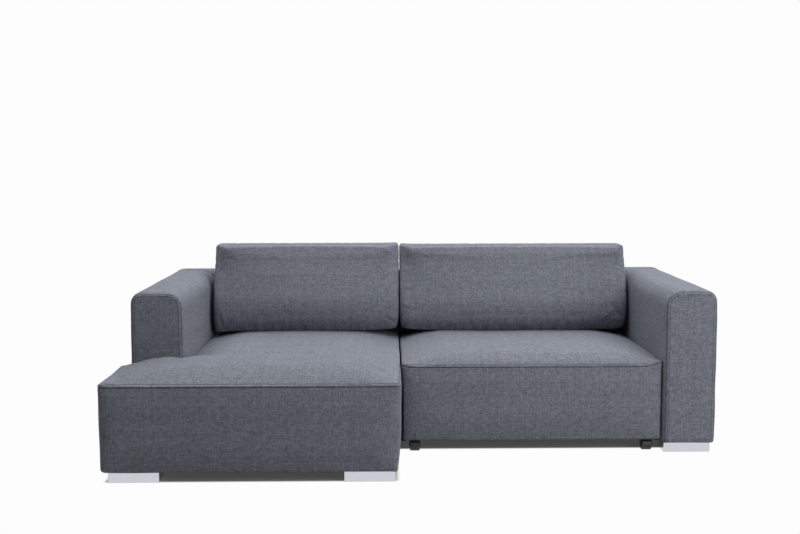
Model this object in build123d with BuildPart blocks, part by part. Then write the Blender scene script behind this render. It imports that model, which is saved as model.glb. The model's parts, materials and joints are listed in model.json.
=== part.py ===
from build123d import *
import os
from math import ceil

# Corner sofa bed: a chaise on the left, a seat on the right that rolls out to meet the
# chaise front, and two loose back cushions that then fill the bay behind the seat.
# Millimetres, +Z up, the sitter faces -Y. The origin is on the floor under the middle.

# Overall sizes
overall_width = 2500
overall_depth = 1450
overall_height = 834

# Arms and backs
arm_width = 222
arm_height = 692
arm_edge_radius = 70
arm_outer_radius = 48
arm_front_radius = 14
back_thickness = 125
back_edge_radius = 42
back_corner_radius = 30
padding = 20

# Chaise and seat blocks
chaise_width = 1164
chaise_reach = 410
chaise_overhang = 34
seam_height = 376
pad_depth = 90
front_pad_rise = 72
seat_pad_rise = 54
crown_fall = 12
front_pad_fall = 28
pad_edge_radius = 24
pad_corner_radius = 34
cover_corner_radius = 19
side_draw = 4
cover_tuck_radius = 10
module_gap = 6
side_gap = 4
seat_setback = 16
seat_skirt_gap = 50

# Back cushions
cushion_inset = 18
cushion_pair_gap = 8
cushion_corner_radius = 30
cushion_side_draw = 4
cushion_belly_depth = 245
cushion_top_depth = 140
cushion_shoulder_fullness = 15
cushion_foot_depth = 215
cushion_crown = 42

# Timber, straps and lining
board = 20
arm_panel = 16
post_width = 45
post_bay = 230
strap_width = 60
strap_pitch = 105
strap_thickness = 2
lining_thickness = 1.5

# Feet
foot_height = 40
foot_width = 198
foot_depth = 90
foot_wall = 4
foot_edge_radius = 3
foot_setback = 15
chaise_foot_inset = 26
arm_foot_inset = 18
support_foot_diameter = 50
support_foot_taper = 4

# Pull-out seat and its fixed base
rail_zone = 20
rail_depth = 16
rail_sheet = 2
rail_bend = 3
guide_axle_height = 180
guide_roller_diameter = 32
guide_roller_width = 10
guide_roller_edge = 2
guide_axle_setback = 35
axle_diameter = 8
axle_head_diameter = 14
axle_head = 4
axle_tip = 1.5
stop_thickness = 3
stop_gap = 1
channel_headroom = 1.2
base_drop = 16
base_clearance = 8
cross_rail_height = 60
cross_rail_setback = 100
carcass_lift = 10
deck_bearer_height = 90
deck_bearer_clearance = 33
deck_slat_thickness = 15
deck_slat_width = 60
deck_slat_clearance = 13
deck_slat_count = 5
carcass_end_gap = 10
batten_height = 46
seat_slat_count = 10
seat_slat_width = 53
seat_slat_thickness = 8
seat_slat_bow = 14
slat_end_gap = 8
holder_depth = 30
holder_wall = 4
holder_slack = 1.6

# Floor rollers and their forks
roller_diameter = 50
roller_width = 42
roller_setback = 45
roller_inset = 59
roller_edge = 3
roller_hub_diameter = 30
roller_hub_recess = 4
fork_sheet = 2.5
fork_side_gap = 0.8
fork_plate_length = 54
fork_headroom = 4
fork_ear_radius = 11
roller_block_length = 65
roller_block_width = 34
roller_block_height = 75
carcass_leg_length = 78
carcass_notch_radius = 12

# Module connectors
connector_sheet = 3
connector_width = 60
connector_height = 60
connector_throat = 21
connector_lip = 15
connector_play = 3
connector_bend = 4
connector_level = 180
connector_places = (20, 380)

# Clearances
contact_gap = 0.3
running_gap = 0.05

# Places across the sofa
x_left = -overall_width / 2
x_right = overall_width / 2
x_chaise = (x_left, x_left + chaise_width)
x_left_arm = (x_left + chaise_overhang, x_left + chaise_overhang + arm_width)
x_right_arm = (x_right - arm_width, x_right)
x_seat = (x_chaise[1] + module_gap, x_right_arm[0] - side_gap)
seat_middle = (x_seat[0] + x_seat[1]) / 2
base_half = x_right_arm[0] - seat_middle
rail_half = base_half - board
carcass_half = rail_half - rail_zone
carcass_inner = carcass_half - board
x_split = (x_chaise[1] + x_seat[0]) / 2

# Places from front to back
y_front = -overall_depth / 2
y_rear = overall_depth / 2
y_arm = y_front + chaise_reach
y_seat = y_arm + seat_setback
y_back = y_rear - back_thickness
y_cover = y_front + padding
y_cross = y_arm - board
y_carcass = (y_seat + padding + board, y_back - carcass_end_gap)
y_base = (y_carcass[0] + base_clearance, y_back)
y_guide = y_carcass[1] - guide_axle_setback
seat_travel = chaise_reach

# Heights
pad_bottom = seam_height - pad_depth
chaise_board_top = pad_bottom - strap_thickness
base_top = pad_bottom - base_drop
cross_rail_top = foot_height + cross_rail_height
deck_bearer_top = cross_rail_top + deck_bearer_height
fork_top = roller_diameter + fork_headroom + fork_sheet

os.makedirs("parts", exist_ok=True)


def keep(builder, label):
    builder.part.label = label
    export_step(builder.part, f"parts/{label}.step")


def slab(x, y, z, mode=Mode.ADD):
    with Locations(((x[0] + x[1]) / 2, (y[0] + y[1]) / 2, (z[0] + z[1]) / 2)):
        Box(x[1] - x[0], y[1] - y[0], z[1] - z[0], mode=mode)


def boards(label, *places):
    with BuildPart() as piece:
        for x, y, z in places:
            slab(x, y, z)
    keep(piece, label)


def both_sides(inner, outer):
    return ((seat_middle - outer, seat_middle - inner), (seat_middle + inner, seat_middle + outer))


# Chaise base: six boards on edge around a front bay and a rear bay
chaise_height = (foot_height, chaise_board_top)
x_box = (x_chaise[0] + padding, x_chaise[1] - padding)
x_inner = (x_left_arm[1], x_left_arm[1] + board)
boards("chaise_front_board", (x_box, (y_cover, y_cover + board), chaise_height))
boards("chaise_left_board", ((x_box[0], x_box[0] + board), (y_cover + board, y_cross), chaise_height))
boards("chaise_right_board", ((x_box[1] - board, x_box[1]), (y_cover + board, y_back), chaise_height))
boards("chaise_cross_board", ((x_box[0], x_box[1] - board), (y_cross, y_arm), chaise_height))
boards("chaise_inner_board", (x_inner, (y_arm, y_back - board), chaise_height))
boards("chaise_rear_board", ((x_inner[0], x_box[1] - board), (y_back - board, y_back), chaise_height))

# Elastic straps stapled over the boards, front to back; those beside the arm stop at the cross board
with BuildPart() as straps:
    strap_count = int((x_box[1] - x_box[0] - strap_width) // strap_pitch) + 1
    strap_start = (x_box[0] + x_box[1] - (strap_count - 1) * strap_pitch) / 2
    for number in range(strap_count):
        strap_middle = strap_start + number * strap_pitch
        behind_arm = strap_middle - strap_width / 2 < x_inner[0] + contact_gap
        strap_end = y_arm if behind_arm else y_back
        slab(
            (strap_middle - strap_width / 2, strap_middle + strap_width / 2),
            (y_cover, strap_end),
            (chaise_board_top, pad_bottom),
        )
keep(straps, "chaise_webbing")

lining_height = (foot_height, foot_height + lining_thickness)
boards(
    "chaise_bottom_lining",
    ((x_box[0] + board, x_box[1] - board), (y_cover + board, y_cross), lining_height),
    ((x_inner[1], x_box[1] - board), (y_arm, y_back - board), lining_height),
)


# Padded cover panels below the seam, the front ones rounded at their upright edges
def front_cover(label, x, y, z):
    with BuildPart() as cover:
        with BuildSketch(Plane.XY.offset(z[0])):
            with Locations(((x[0] + x[1]) / 2, (y[0] + y[1]) / 2)):
                Rectangle(x[1] - x[0], y[1] - y[0])
            fillet(vertices().group_by(Axis.Y)[0], min(cover_corner_radius, 0.95 * (y[1] - y[0])))
        extrude(amount=z[1] - z[0])
        tuck = cover.faces().sort_by(Axis.Z)[0].edges().group_by(Axis.Y)[0]
        fillet(tuck, min(cover_tuck_radius, 0.45 * (y[1] - y[0])))
    keep(cover, label)


cover_height = (foot_height, seam_height)
front_cover("chaise_front_cover", x_chaise, (y_front, y_cover), cover_height)
boards("chaise_left_cover", ((x_chaise[0], x_box[0]), (y_cover, y_arm), cover_height))
boards("chaise_right_cover", ((x_box[1], x_chaise[1]), (y_cover, y_arm), cover_height))
front_cover("seat_front_cover", x_seat, (y_seat, y_seat + padding), (seat_skirt_gap, seam_height))


# Foam pads: crowned both ways, rounded along the rim, sides drawn in between the corners
def crowned_pad(label, x, y, lower_x, lower_y, rise, fall):
    mid_x = (x[0] + x[1]) / 2
    mid_y = (y[0] + y[1]) / 2
    top = seam_height + rise
    below = (y[0] - padding, y[1] + padding)
    with BuildPart() as pad:
        with BuildSketch(Plane.XY.offset(seam_height)):
            with BuildLine():
                Line((x[0], y[0]), (x[1], y[0]))
                ThreePointArc((x[1], y[0]), (x[1] - side_draw, mid_y), (x[1], y[1]))
                Line((x[1], y[1]), (x[0], y[1]))
                ThreePointArc((x[0], y[1]), (x[0] + side_draw, mid_y), (x[0], y[0]))
            make_face()
            fillet(vertices(), pad_corner_radius)
        extrude(amount=rise)
        for place, drop in ((x[0] - padding, fall), (mid_x, 0), (x[1] + padding, fall)):
            shoulder = top - drop - crown_fall
            with BuildSketch(Plane.YZ.offset(place)):
                with BuildLine():
                    ThreePointArc((below[0], shoulder), (mid_y, top - drop), (below[1], shoulder))
                    Polyline(
                        (below[1], shoulder),
                        (below[1], pad_bottom),
                        (below[0], pad_bottom),
                        (below[0], shoulder),
                    )
                make_face()
        loft(mode=Mode.INTERSECT)
        rim = pad.faces().sort_by(Axis.Z)[-1].outer_wire().edges()
        fillet(rim, min(pad_edge_radius, 0.8 * (rise - fall - crown_fall)))
        slab(lower_x, lower_y, (pad_bottom, seam_height))
    keep(pad, label)


x_chaise_seat = (x_left_arm[1] + contact_gap, x_chaise[1])
y_chaise_seat = (y_arm + contact_gap, y_back - contact_gap)
y_front_pad = (y_front, y_arm - contact_gap)
x_seat_lower = (x_seat[0] + side_draw, x_seat[1] - side_draw)
x_chaise_lower = (x_chaise_seat[0] + side_draw, x_chaise_seat[1] - side_draw)
y_seat_pad = (y_seat, y_back - side_gap / 2)
crowned_pad("chaise_front_pad", x_chaise, y_front_pad, x_box, (y_cover, y_arm), front_pad_rise, front_pad_fall)
crowned_pad(
    "chaise_seat_pad", x_chaise_seat, y_chaise_seat, x_chaise_lower, y_chaise_seat, seat_pad_rise, crown_fall
)
crowned_pad(
    "seat_pad", x_seat, y_seat_pad, x_seat_lower, (y_seat + padding, y_seat_pad[1]), seat_pad_rise, crown_fall
)


# Arms: a padded cover rounded over the top, around a timber box
def arm(side, x, outer_end):
    width = x[1] - x[0]
    frame_x = (x[0] + padding, x[1] - padding)
    frame_y = (y_arm + padding, y_back)
    frame_z = (foot_height, arm_height - arm_edge_radius)
    with BuildPart() as cover:
        with BuildSketch(Plane.XZ.offset(-y_back)):
            with Locations(((x[0] + x[1]) / 2, (foot_height + arm_height) / 2)):
                Rectangle(width, arm_height - foot_height)
            outer_corner = vertices().group_by(Axis.Y)[-1].sort_by(Axis.X)[outer_end]
            fillet(outer_corner, min(arm_outer_radius, 0.45 * width))
            inner_corner = vertices().group_by(Axis.Y)[-1].sort_by(Axis.X)[-1 - outer_end]
            fillet(inner_corner, min(arm_edge_radius, 0.45 * width))
        extrude(amount=y_back - y_arm)
        front_edges = cover.faces().sort_by(Axis.Y)[0].edges()
        fillet(front_edges.sort_by(Axis.Z)[1:], arm_front_radius)
        slab(frame_x, frame_y, frame_z, Mode.SUBTRACT)
    keep(cover, f"{side}_arm_cover")
    with BuildPart() as frame:
        slab(frame_x, frame_y, frame_z)
        slab(
            (frame_x[0] + arm_panel, frame_x[1] - arm_panel),
            (frame_y[0] + arm_panel, frame_y[1] - arm_panel),
            (frame_z[0], frame_z[1] - arm_panel),
            Mode.SUBTRACT,
        )
    keep(frame, f"{side}_arm_frame")


arm("left", x_left_arm, 0)
arm("right", x_right_arm, -1)


# Backs: a padded cover rounded over the top and at its outer corner, its outer end cut to the arm's
# rounded section, around a post-and-rail frame
def back(name, x, outer_end):
    frame_x = (x[0] + padding, x[1] - padding)
    frame_y = (y_back + padding, y_rear - padding)
    frame_z = (foot_height, arm_height - back_edge_radius)
    with BuildPart() as cover:
        with BuildSketch(Plane.YZ.offset(x[0])):
            with Locations(((y_back + y_rear) / 2, (foot_height + arm_height) / 2)):
                Rectangle(back_thickness, arm_height - foot_height)
            fillet(vertices().group_by(Axis.Y)[-1], min(back_edge_radius, 0.45 * back_thickness))
        extrude(amount=x[1] - x[0])
        upright = cover.edges().filter_by(Axis.Z).group_by(Axis.Y)[-1].sort_by(Axis.X)[outer_end]
        fillet(upright, min(back_corner_radius, 0.9 * back_edge_radius))
        with BuildSketch(Plane.XZ.offset(-y_rear)):
            with Locations(((x[0] + x[1]) / 2, (foot_height + arm_height) / 2)):
                Rectangle(x[1] - x[0], arm_height - foot_height)
            fillet(vertices().group_by(Axis.Y)[-1].sort_by(Axis.X)[outer_end], arm_outer_radius)
        extrude(amount=back_thickness, mode=Mode.INTERSECT)
        slab(frame_x, frame_y, frame_z, Mode.SUBTRACT)
    keep(cover, f"{name}_back_cover")
    length = frame_x[1] - frame_x[0]
    bays = ceil((length - post_width) / (post_bay + post_width))
    bay_pitch = (length - post_width) / bays
    bay_middle = ((frame_x[0] + frame_x[1]) / 2, (frame_y[0] + frame_y[1]) / 2, (frame_z[0] + frame_z[1]) / 2)
    with BuildPart() as frame:
        slab(frame_x, frame_y, frame_z)
        with Locations(bay_middle):
            with GridLocations(bay_pitch, 0, bays, 1):
                Box(
                    bay_pitch - post_width,
                    frame_y[1] - frame_y[0],
                    frame_z[1] - frame_z[0] - 2 * post_width,
                    mode=Mode.SUBTRACT,
                )
    keep(frame, f"{name}_back_frame")


back("chaise", (x_left_arm[0], x_split), 0)
back("seat", (x_split, x_right), -1)


# Polished block feet, hollow from above
def block_foot(label, x, y):
    with BuildPart() as foot:
        slab((x, x + foot_width), (y, y + foot_depth), (0, foot_height))
        fillet(foot.edges().filter_by(Axis.Z), foot_edge_radius)
        slab(
            (x + foot_wall, x + foot_width - foot_wall),
            (y + foot_wall, y + foot_depth - foot_wall),
            (foot_wall, foot_height),
            Mode.SUBTRACT,
        )
    keep(foot, label)


block_foot("front_left_foot", x_chaise[0] + chaise_foot_inset, y_front + foot_setback)
block_foot("front_middle_foot", x_chaise[1] - chaise_foot_inset - foot_width, y_front + foot_setback)
block_foot("front_right_foot", x_right - arm_foot_inset - foot_width, y_arm + foot_setback)

# Black support feet under the corners that the front does not show
arm_middles = ((x_left_arm[0] + x_left_arm[1]) / 2, (x_right_arm[0] + x_right_arm[1]) / 2)
back_middle = (y_back + y_rear) / 2
support_places = (
    (arm_middles[0], back_middle),
    (x_split - support_foot_diameter, back_middle),
    (x_split + support_foot_diameter, back_middle),
    (arm_middles[1], back_middle),
    (seat_middle - base_half + board / 2, y_base[0] + 2 * cross_rail_setback),
)
with BuildPart() as support_feet:
    with Locations(*((x, y, foot_height / 2) for x, y in support_places)):
        Cone(support_foot_diameter / 2 - support_foot_taper, support_foot_diameter / 2, foot_height)
keep(support_feet, "support_feet")

# Fixed base under the pull-out seat: side boards tied by low cross rails, and a slatted deck behind
base_left, base_right = both_sides(rail_half, base_half)
base_height = (foot_height, base_top)
boards("base_left_board", (base_left, y_base, base_height))
boards("base_right_board", (base_right, y_base, base_height))
y_middle_rail = y_carcass[1] - seat_travel - board
cross_rail_starts = (y_base[0] + cross_rail_setback, y_middle_rail, y_back - board)
boards(
    "base_cross_rails",
    *(((base_left[1], base_right[0]), (y, y + board), (foot_height, cross_rail_top)) for y in cross_rail_starts),
)
bearer_half = carcass_inner - deck_bearer_clearance
bearer_middles = (seat_middle - bearer_half, seat_middle, seat_middle + bearer_half)
boards(
    "deck_bearers",
    *(
        ((x - board / 2, x + board / 2), (y_middle_rail, y_back), (cross_rail_top, deck_bearer_top))
        for x in bearer_middles
    ),
)
deck_half = carcass_inner - deck_slat_clearance
deck_pitch = (y_back - contact_gap - y_middle_rail - deck_slat_width) / (deck_slat_count - 1)
deck_starts = [y_middle_rail + number * deck_pitch for number in range(deck_slat_count)]
boards(
    "deck_slats",
    *(
        (
            (seat_middle - deck_half, seat_middle + deck_half),
            (y, y + deck_slat_width),
            (deck_bearer_top, deck_bearer_top + deck_slat_thickness),
        )
        for y in deck_starts
    ),
)

# Guide rails: bent C-channels on the base boards, with a stop at each end of the travel
guide_radius = guide_roller_diameter / 2
channel_floor = guide_axle_height - guide_radius - contact_gap
channel_roof = guide_axle_height + guide_radius + channel_headroom
y_rail = (y_base[0], y_carcass[1])
stop_faces = (y_guide - seat_travel - guide_radius - stop_gap, y_guide + guide_radius + stop_gap)


def guide_rail(side, sign):
    web = seat_middle + sign * (rail_half - rail_sheet / 2)
    lip = seat_middle + sign * (rail_half - rail_depth)
    inside = sorted((seat_middle + sign * (rail_half - rail_sheet), lip))
    with BuildPart() as rail:
        with BuildSketch(Plane.XZ.offset(-y_rail[1])):
            with BuildLine():
                FilletPolyline(
                    (lip, channel_floor - rail_sheet / 2),
                    (web, channel_floor - rail_sheet / 2),
                    (web, channel_roof + rail_sheet / 2),
                    (lip, channel_roof + rail_sheet / 2),
                    radius=rail_bend,
                )
            trace(line_width=rail_sheet)
        extrude(amount=y_rail[1] - y_rail[0])
        for y in (stop_faces[0] - stop_thickness, stop_faces[1]):
            slab(inside, (y, y + stop_thickness), (channel_floor, channel_roof))
    keep(rail, f"guide_rail_{side}")


# Guide roller on its axle, running in the channel
def guide_roller(side, sign):
    roller_outer = rail_half - rail_sheet - axle_tip - 3 * contact_gap
    roller_inner = roller_outer - guide_roller_width
    start = seat_middle + sign * roller_inner
    end = seat_middle + sign * roller_outer
    bore = axle_diameter / 2 + running_gap
    with BuildPart() as roller:
        with BuildSketch(Plane.XZ.offset(-y_guide)):
            with BuildLine():
                Polyline(
                    (start, guide_axle_height + bore),
                    (end, guide_axle_height + bore),
                    (end, guide_axle_height + guide_radius),
                    (start, guide_axle_height + guide_radius),
                    close=True,
                )
            make_face()
            chamfer(vertices().group_by(Axis.Y)[-1], guide_roller_edge)
        revolve(axis=Axis((seat_middle, y_guide, guide_axle_height), (1, 0, 0)))
    keep(roller, f"guide_roller_{side}")
    steps = (
        (carcass_inner - axle_head, carcass_inner, axle_head_diameter / 2),
        (carcass_inner, roller_outer + contact_gap, axle_diameter / 2),
        (carcass_half, roller_inner - contact_gap, axle_diameter / 2 + axle_tip),
        (roller_outer + contact_gap, roller_outer + contact_gap + axle_tip, axle_diameter / 2 + axle_tip),
    )
    with BuildPart() as axle:
        for inner, outer, radius in steps:
            with Locations(Location((seat_middle + sign * (inner + outer) / 2, y_guide, guide_axle_height))):
                Cylinder(radius, outer - inner, rotation=(0, 90, 0))
    keep(axle, f"guide_axle_{side}")


# Side boards of the pull-out carcass: a leg over the floor roller, cut up behind it to clear the cross rails
def carcass_side(side, x):
    leg_end = y_carcass[0] + carcass_leg_length
    belly = cross_rail_top + carcass_lift
    with BuildPart() as side_board:
        with BuildSketch(Plane.YZ.offset(x[0])):
            with BuildLine():
                FilletPolyline(
                    (y_carcass[0], fork_top),
                    (leg_end, fork_top),
                    (leg_end, belly),
                    (y_carcass[1], belly),
                    radius=carcass_notch_radius,
                )
                Polyline(
                    (y_carcass[1], belly),
                    (y_carcass[1], pad_bottom),
                    (y_carcass[0], pad_bottom),
                    (y_carcass[0], fork_top),
                )
            make_face()
            with Locations((y_guide, guide_axle_height)):
                Circle(axle_diameter / 2 + running_gap, mode=Mode.SUBTRACT)
        extrude(amount=x[1] - x[0])
    keep(side_board, f"seat_{side}_board")


# Floor roller: moulded wheel with a recessed hub, on a pin through a bent steel fork
roller_radius = roller_diameter / 2
roller_half = carcass_half + rail_zone + board - roller_inset
y_roller = y_seat + roller_setback
fork_half = roller_width / 2 + fork_side_gap + fork_sheet


def floor_roller(side, sign):
    middle = seat_middle + sign * roller_half
    bore = axle_diameter / 2 + running_gap
    half = roller_width / 2
    hub = roller_hub_diameter / 2
    with BuildPart() as roller:
        with BuildSketch(Plane.XZ.offset(-y_roller)):
            with BuildLine():
                Polyline(
                    (middle - half, roller_radius + hub),
                    (middle - half + roller_hub_recess, roller_radius + hub),
                    (middle - half + roller_hub_recess, roller_radius + axle_diameter),
                    (middle - half, roller_radius + axle_diameter),
                    (middle - half, roller_radius + bore),
                    (middle + half, roller_radius + bore),
                    (middle + half, roller_radius + axle_diameter),
                    (middle + half - roller_hub_recess, roller_radius + axle_diameter),
                    (middle + half - roller_hub_recess, roller_radius + hub),
                    (middle + half, roller_radius + hub),
                    (middle + half, roller_diameter),
                    (middle - half, roller_diameter),
                    close=True,
                )
            make_face()
            chamfer(vertices().group_by(Axis.Y)[-1], roller_edge)
        revolve(axis=Axis((middle, y_roller, roller_radius), (1, 0, 0)))
    keep(roller, f"floor_roller_{side}")
    plate_z = fork_top - fork_sheet
    plate_y = (y_seat + padding + contact_gap, y_seat + padding + contact_gap + fork_plate_length)
    with BuildPart() as fork:
        slab((middle - fork_half, middle + fork_half), plate_y, (plate_z, fork_top))
        for ear_start in (middle - fork_half, middle + fork_half - fork_sheet):
            with BuildSketch(Plane.YZ.offset(ear_start)):
                with Locations((y_roller, roller_radius)):
                    Circle(fork_ear_radius)
                with Locations((y_roller, plate_z)):
                    Rectangle(2 * fork_ear_radius, fork_sheet)
                make_hull()
                with Locations((y_roller, roller_radius)):
                    Circle(axle_diameter / 2 + running_gap, mode=Mode.SUBTRACT)
            extrude(amount=fork_sheet)
    keep(fork, f"roller_fork_{side}")
    with BuildPart() as pin:
        with Locations((middle, y_roller, roller_radius)):
            Cylinder(axle_diameter / 2, 2 * fork_half, rotation=(0, 90, 0))
        for sign_end in (-1, 1):
            with Locations((middle + sign_end * (fork_half + axle_tip / 2), y_roller, roller_radius)):
                Cylinder(axle_diameter / 2 + axle_tip, axle_tip, rotation=(0, 90, 0))
    keep(pin, f"roller_pin_{side}")


carcass_left, carcass_right = both_sides(carcass_inner, carcass_half)
for side, sign, x in (("left", -1, carcass_left), ("right", 1, carcass_right)):
    guide_rail(side, sign)
    guide_roller(side, sign)
    carcass_side(side, x)
    floor_roller(side, sign)

# Rest of the pull-out carcass
x_front_board = (x_seat[0] + side_draw, x_seat[1] - side_draw)
boards("seat_front_board", (x_front_board, (y_seat + padding, y_carcass[0]), (fork_top, pad_bottom)))
batten_y = (y_carcass[1] - board, y_carcass[1])
boards(
    "seat_rear_batten",
    ((carcass_left[1], carcass_right[0]), batten_y, (pad_bottom - batten_height, pad_bottom)),
)
block_left, block_right = both_sides(carcass_inner - roller_block_width, carcass_inner)
block_y = (y_carcass[0], y_carcass[0] + roller_block_length)
block_z = (fork_top, fork_top + roller_block_height)
boards("roller_blocks", (block_left, block_y, block_z), (block_right, block_y, block_z))

# Bowed slats under the seat pad, each end in a pocket on the side boards
slat_half = carcass_inner - slat_end_gap
slat_crown = pad_bottom - contact_gap
slat_shoulder = slat_crown - seat_slat_bow
slat_span = (y_carcass[0] + holder_wall, batten_y[0] - holder_wall)
holder_width = seat_slat_width + 2 * holder_wall
slat_pitch = (slat_span[1] - slat_span[0] - holder_width) / (seat_slat_count - 1)
slat_middles = [slat_span[0] + holder_width / 2 + number * slat_pitch for number in range(seat_slat_count)]
with BuildPart() as seat_slats:
    for y in slat_middles:
        with BuildSketch(Plane.XZ.offset(-y - seat_slat_width / 2)):
            with BuildLine():
                ThreePointArc(
                    (seat_middle - slat_half, slat_shoulder),
                    (seat_middle, slat_crown),
                    (seat_middle + slat_half, slat_shoulder),
                )
                Line(
                    (seat_middle + slat_half, slat_shoulder),
                    (seat_middle + slat_half, slat_shoulder - seat_slat_thickness),
                )
                ThreePointArc(
                    (seat_middle + slat_half, slat_shoulder - seat_slat_thickness),
                    (seat_middle, slat_crown - seat_slat_thickness),
                    (seat_middle - slat_half, slat_shoulder - seat_slat_thickness),
                )
                Line(
                    (seat_middle - slat_half, slat_shoulder - seat_slat_thickness),
                    (seat_middle - slat_half, slat_shoulder),
                )
            make_face()
        extrude(amount=seat_slat_width)
keep(seat_slats, "seat_slats")

pocket_z = (slat_shoulder - seat_slat_thickness - contact_gap, slat_shoulder + holder_slack)
holder_z = (pocket_z[0] - holder_wall, pocket_z[1] + holder_wall)
holder_places = both_sides(carcass_inner - holder_depth, carcass_inner)
pocket_places = both_sides(carcass_inner - holder_depth, slat_half + contact_gap)
pocket_half = seat_slat_width / 2 + contact_gap
with BuildPart() as slat_holders:
    for y in slat_middles:
        for holder_x, pocket_x in zip(holder_places, pocket_places):
            slab(holder_x, (y - holder_width / 2, y + holder_width / 2), holder_z)
            slab(pocket_x, (y - pocket_half, y + pocket_half), pocket_z, Mode.SUBTRACT)
keep(slat_holders, "slat_holders")


# Hooked steel connectors in the gap between the two modules: the chaise lip drops behind the base lip
chaise_wall = x_box[1]
base_wall = base_left[0]
connector_reach = base_wall - chaise_wall - 2 * connector_sheet - connector_play


def connector(label, wall, direction, level, upward):
    sheet_middle = wall + direction * connector_sheet / 2
    lip_middle = sheet_middle + direction * connector_reach
    with BuildPart() as hook:
        for y in connector_places:
            with BuildSketch(Plane.XZ.offset(-y - connector_width / 2)):
                with BuildLine():
                    FilletPolyline(
                        (sheet_middle, level - upward * connector_height),
                        (sheet_middle, level),
                        (lip_middle, level),
                        (lip_middle, level + upward * connector_lip),
                        radius=connector_bend,
                    )
                trace(line_width=connector_sheet)
            extrude(amount=connector_width)
    keep(hook, label)


connector("chaise_connectors", chaise_wall, 1, connector_level + connector_throat / 2, -1)
connector("base_connectors", base_wall, -1, connector_level - connector_throat / 2, 1)


# Loose back cushions: fullest low down, thin at the top, front crowned and ends drawn in
def back_cushion(label, x):
    rear = y_back - contact_gap
    middle = (x[0] + x[1]) / 2
    belly_share = 0.2
    shoulder_share = 0.6
    shoulder_depth = (cushion_belly_depth + cushion_top_depth) / 2 + cushion_shoulder_fullness
    half_pad = (y_seat_pad[1] - y_seat_pad[0]) / 2 + padding
    foot_front = rear - cushion_foot_depth - cushion_crown / 2
    offset = foot_front - (y_seat_pad[0] + y_seat_pad[1]) / 2
    bottom = seam_height + seat_pad_rise - crown_fall * (offset / half_pad) ** 2 + contact_gap
    height = overall_height - bottom
    sections = (
        (0, cushion_foot_depth, cushion_crown / 2, cushion_side_draw),
        (belly_share, cushion_belly_depth, cushion_crown, 0),
        (shoulder_share, shoulder_depth, cushion_crown, cushion_side_draw),
        (1, cushion_top_depth, cushion_crown / 2, 0),
    )
    with BuildPart() as cushion:
        for share, depth, crown, draw in sections:
            ends = (x[0] + draw, x[1] - draw)
            front = rear - depth
            waist = rear - depth / 2
            with BuildSketch(Plane.XY.offset(bottom + share * height)):
                with BuildLine():
                    ThreePointArc((ends[0], front), (middle, front - crown), (ends[1], front))
                    ThreePointArc((ends[1], front), (ends[1] - cushion_side_draw, waist), (ends[1], rear))
                    Line((ends[1], rear), (ends[0], rear))
                    ThreePointArc((ends[0], rear), (ends[0] + cushion_side_draw, waist), (ends[0], front))
                make_face()
                fillet(vertices(), cushion_corner_radius)
        loft()
    keep(cushion, label)


back_cushion("back_cushion_left", (x_left_arm[1] + cushion_inset, x_split - cushion_pair_gap / 2))
back_cushion("back_cushion_right", (x_split + cushion_pair_gap / 2, x_right_arm[0] - cushion_inset / 2))
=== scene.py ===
import json
import math

import bpy
import numpy as np
from mathutils import Matrix, Vector

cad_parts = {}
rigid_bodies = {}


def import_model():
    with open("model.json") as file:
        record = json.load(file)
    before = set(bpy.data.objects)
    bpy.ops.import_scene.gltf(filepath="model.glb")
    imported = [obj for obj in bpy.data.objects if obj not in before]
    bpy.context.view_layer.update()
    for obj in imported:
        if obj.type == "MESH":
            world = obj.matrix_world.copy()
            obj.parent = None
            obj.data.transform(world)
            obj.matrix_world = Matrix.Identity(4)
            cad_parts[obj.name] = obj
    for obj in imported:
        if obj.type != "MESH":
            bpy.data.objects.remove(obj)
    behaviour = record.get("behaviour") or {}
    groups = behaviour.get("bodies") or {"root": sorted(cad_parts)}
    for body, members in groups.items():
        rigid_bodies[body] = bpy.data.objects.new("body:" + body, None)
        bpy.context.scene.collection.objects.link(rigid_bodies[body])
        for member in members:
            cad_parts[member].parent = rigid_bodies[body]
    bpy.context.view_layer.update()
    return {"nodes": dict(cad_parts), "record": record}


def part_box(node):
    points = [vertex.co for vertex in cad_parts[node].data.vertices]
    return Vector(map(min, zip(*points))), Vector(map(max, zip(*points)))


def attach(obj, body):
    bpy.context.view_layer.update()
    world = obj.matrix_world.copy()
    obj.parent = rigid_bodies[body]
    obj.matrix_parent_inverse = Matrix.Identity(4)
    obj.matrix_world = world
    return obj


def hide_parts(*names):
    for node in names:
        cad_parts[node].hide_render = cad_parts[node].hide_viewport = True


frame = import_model()
scene = bpy.context.scene
scene.view_settings.view_transform = "Standard"
print("frame loaded", len(frame["nodes"]), "nodes")


# Small helpers for meshes; lengths are in metres unless a note says otherwise
def deselectAll():
    bpy.ops.object.select_all(action="DESELECT")


def setMode(mode):
    bpy.ops.object.mode_set(mode=mode)


def activate(piece):
    deselectAll()
    piece.select_set(True)
    bpy.context.view_layer.objects.active = piece


def readArray(items, what, width=1, kind=np.float32):
    values = np.empty(len(items) * width, kind)
    items.foreach_get(what, values)
    return values


def readCoords(piece, what="co"):
    # one row a point; x, y and z taken from its transpose are views, so changing them changes the rows
    return readArray(piece.data.vertices, what, 3, np.float64).reshape(-1, 3)


def readSkin(piece):
    return readCoords(piece), readCoords(piece, "normal")


def writeCoords(piece, places):
    piece.data.vertices.foreach_set("co", places.astype(np.float32).ravel())
    piece.data.update()


def push(piece, places, normals, amounts):
    # each point moves along its own normal
    writeCoords(piece, places + normals * amounts[:, None])


def makeGroup(piece, name, where):
    group = piece.vertex_groups.new(name=name)
    group.add([int(i) for i in np.nonzero(where)[0]], 1.0, "REPLACE")
    return group.name


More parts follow.
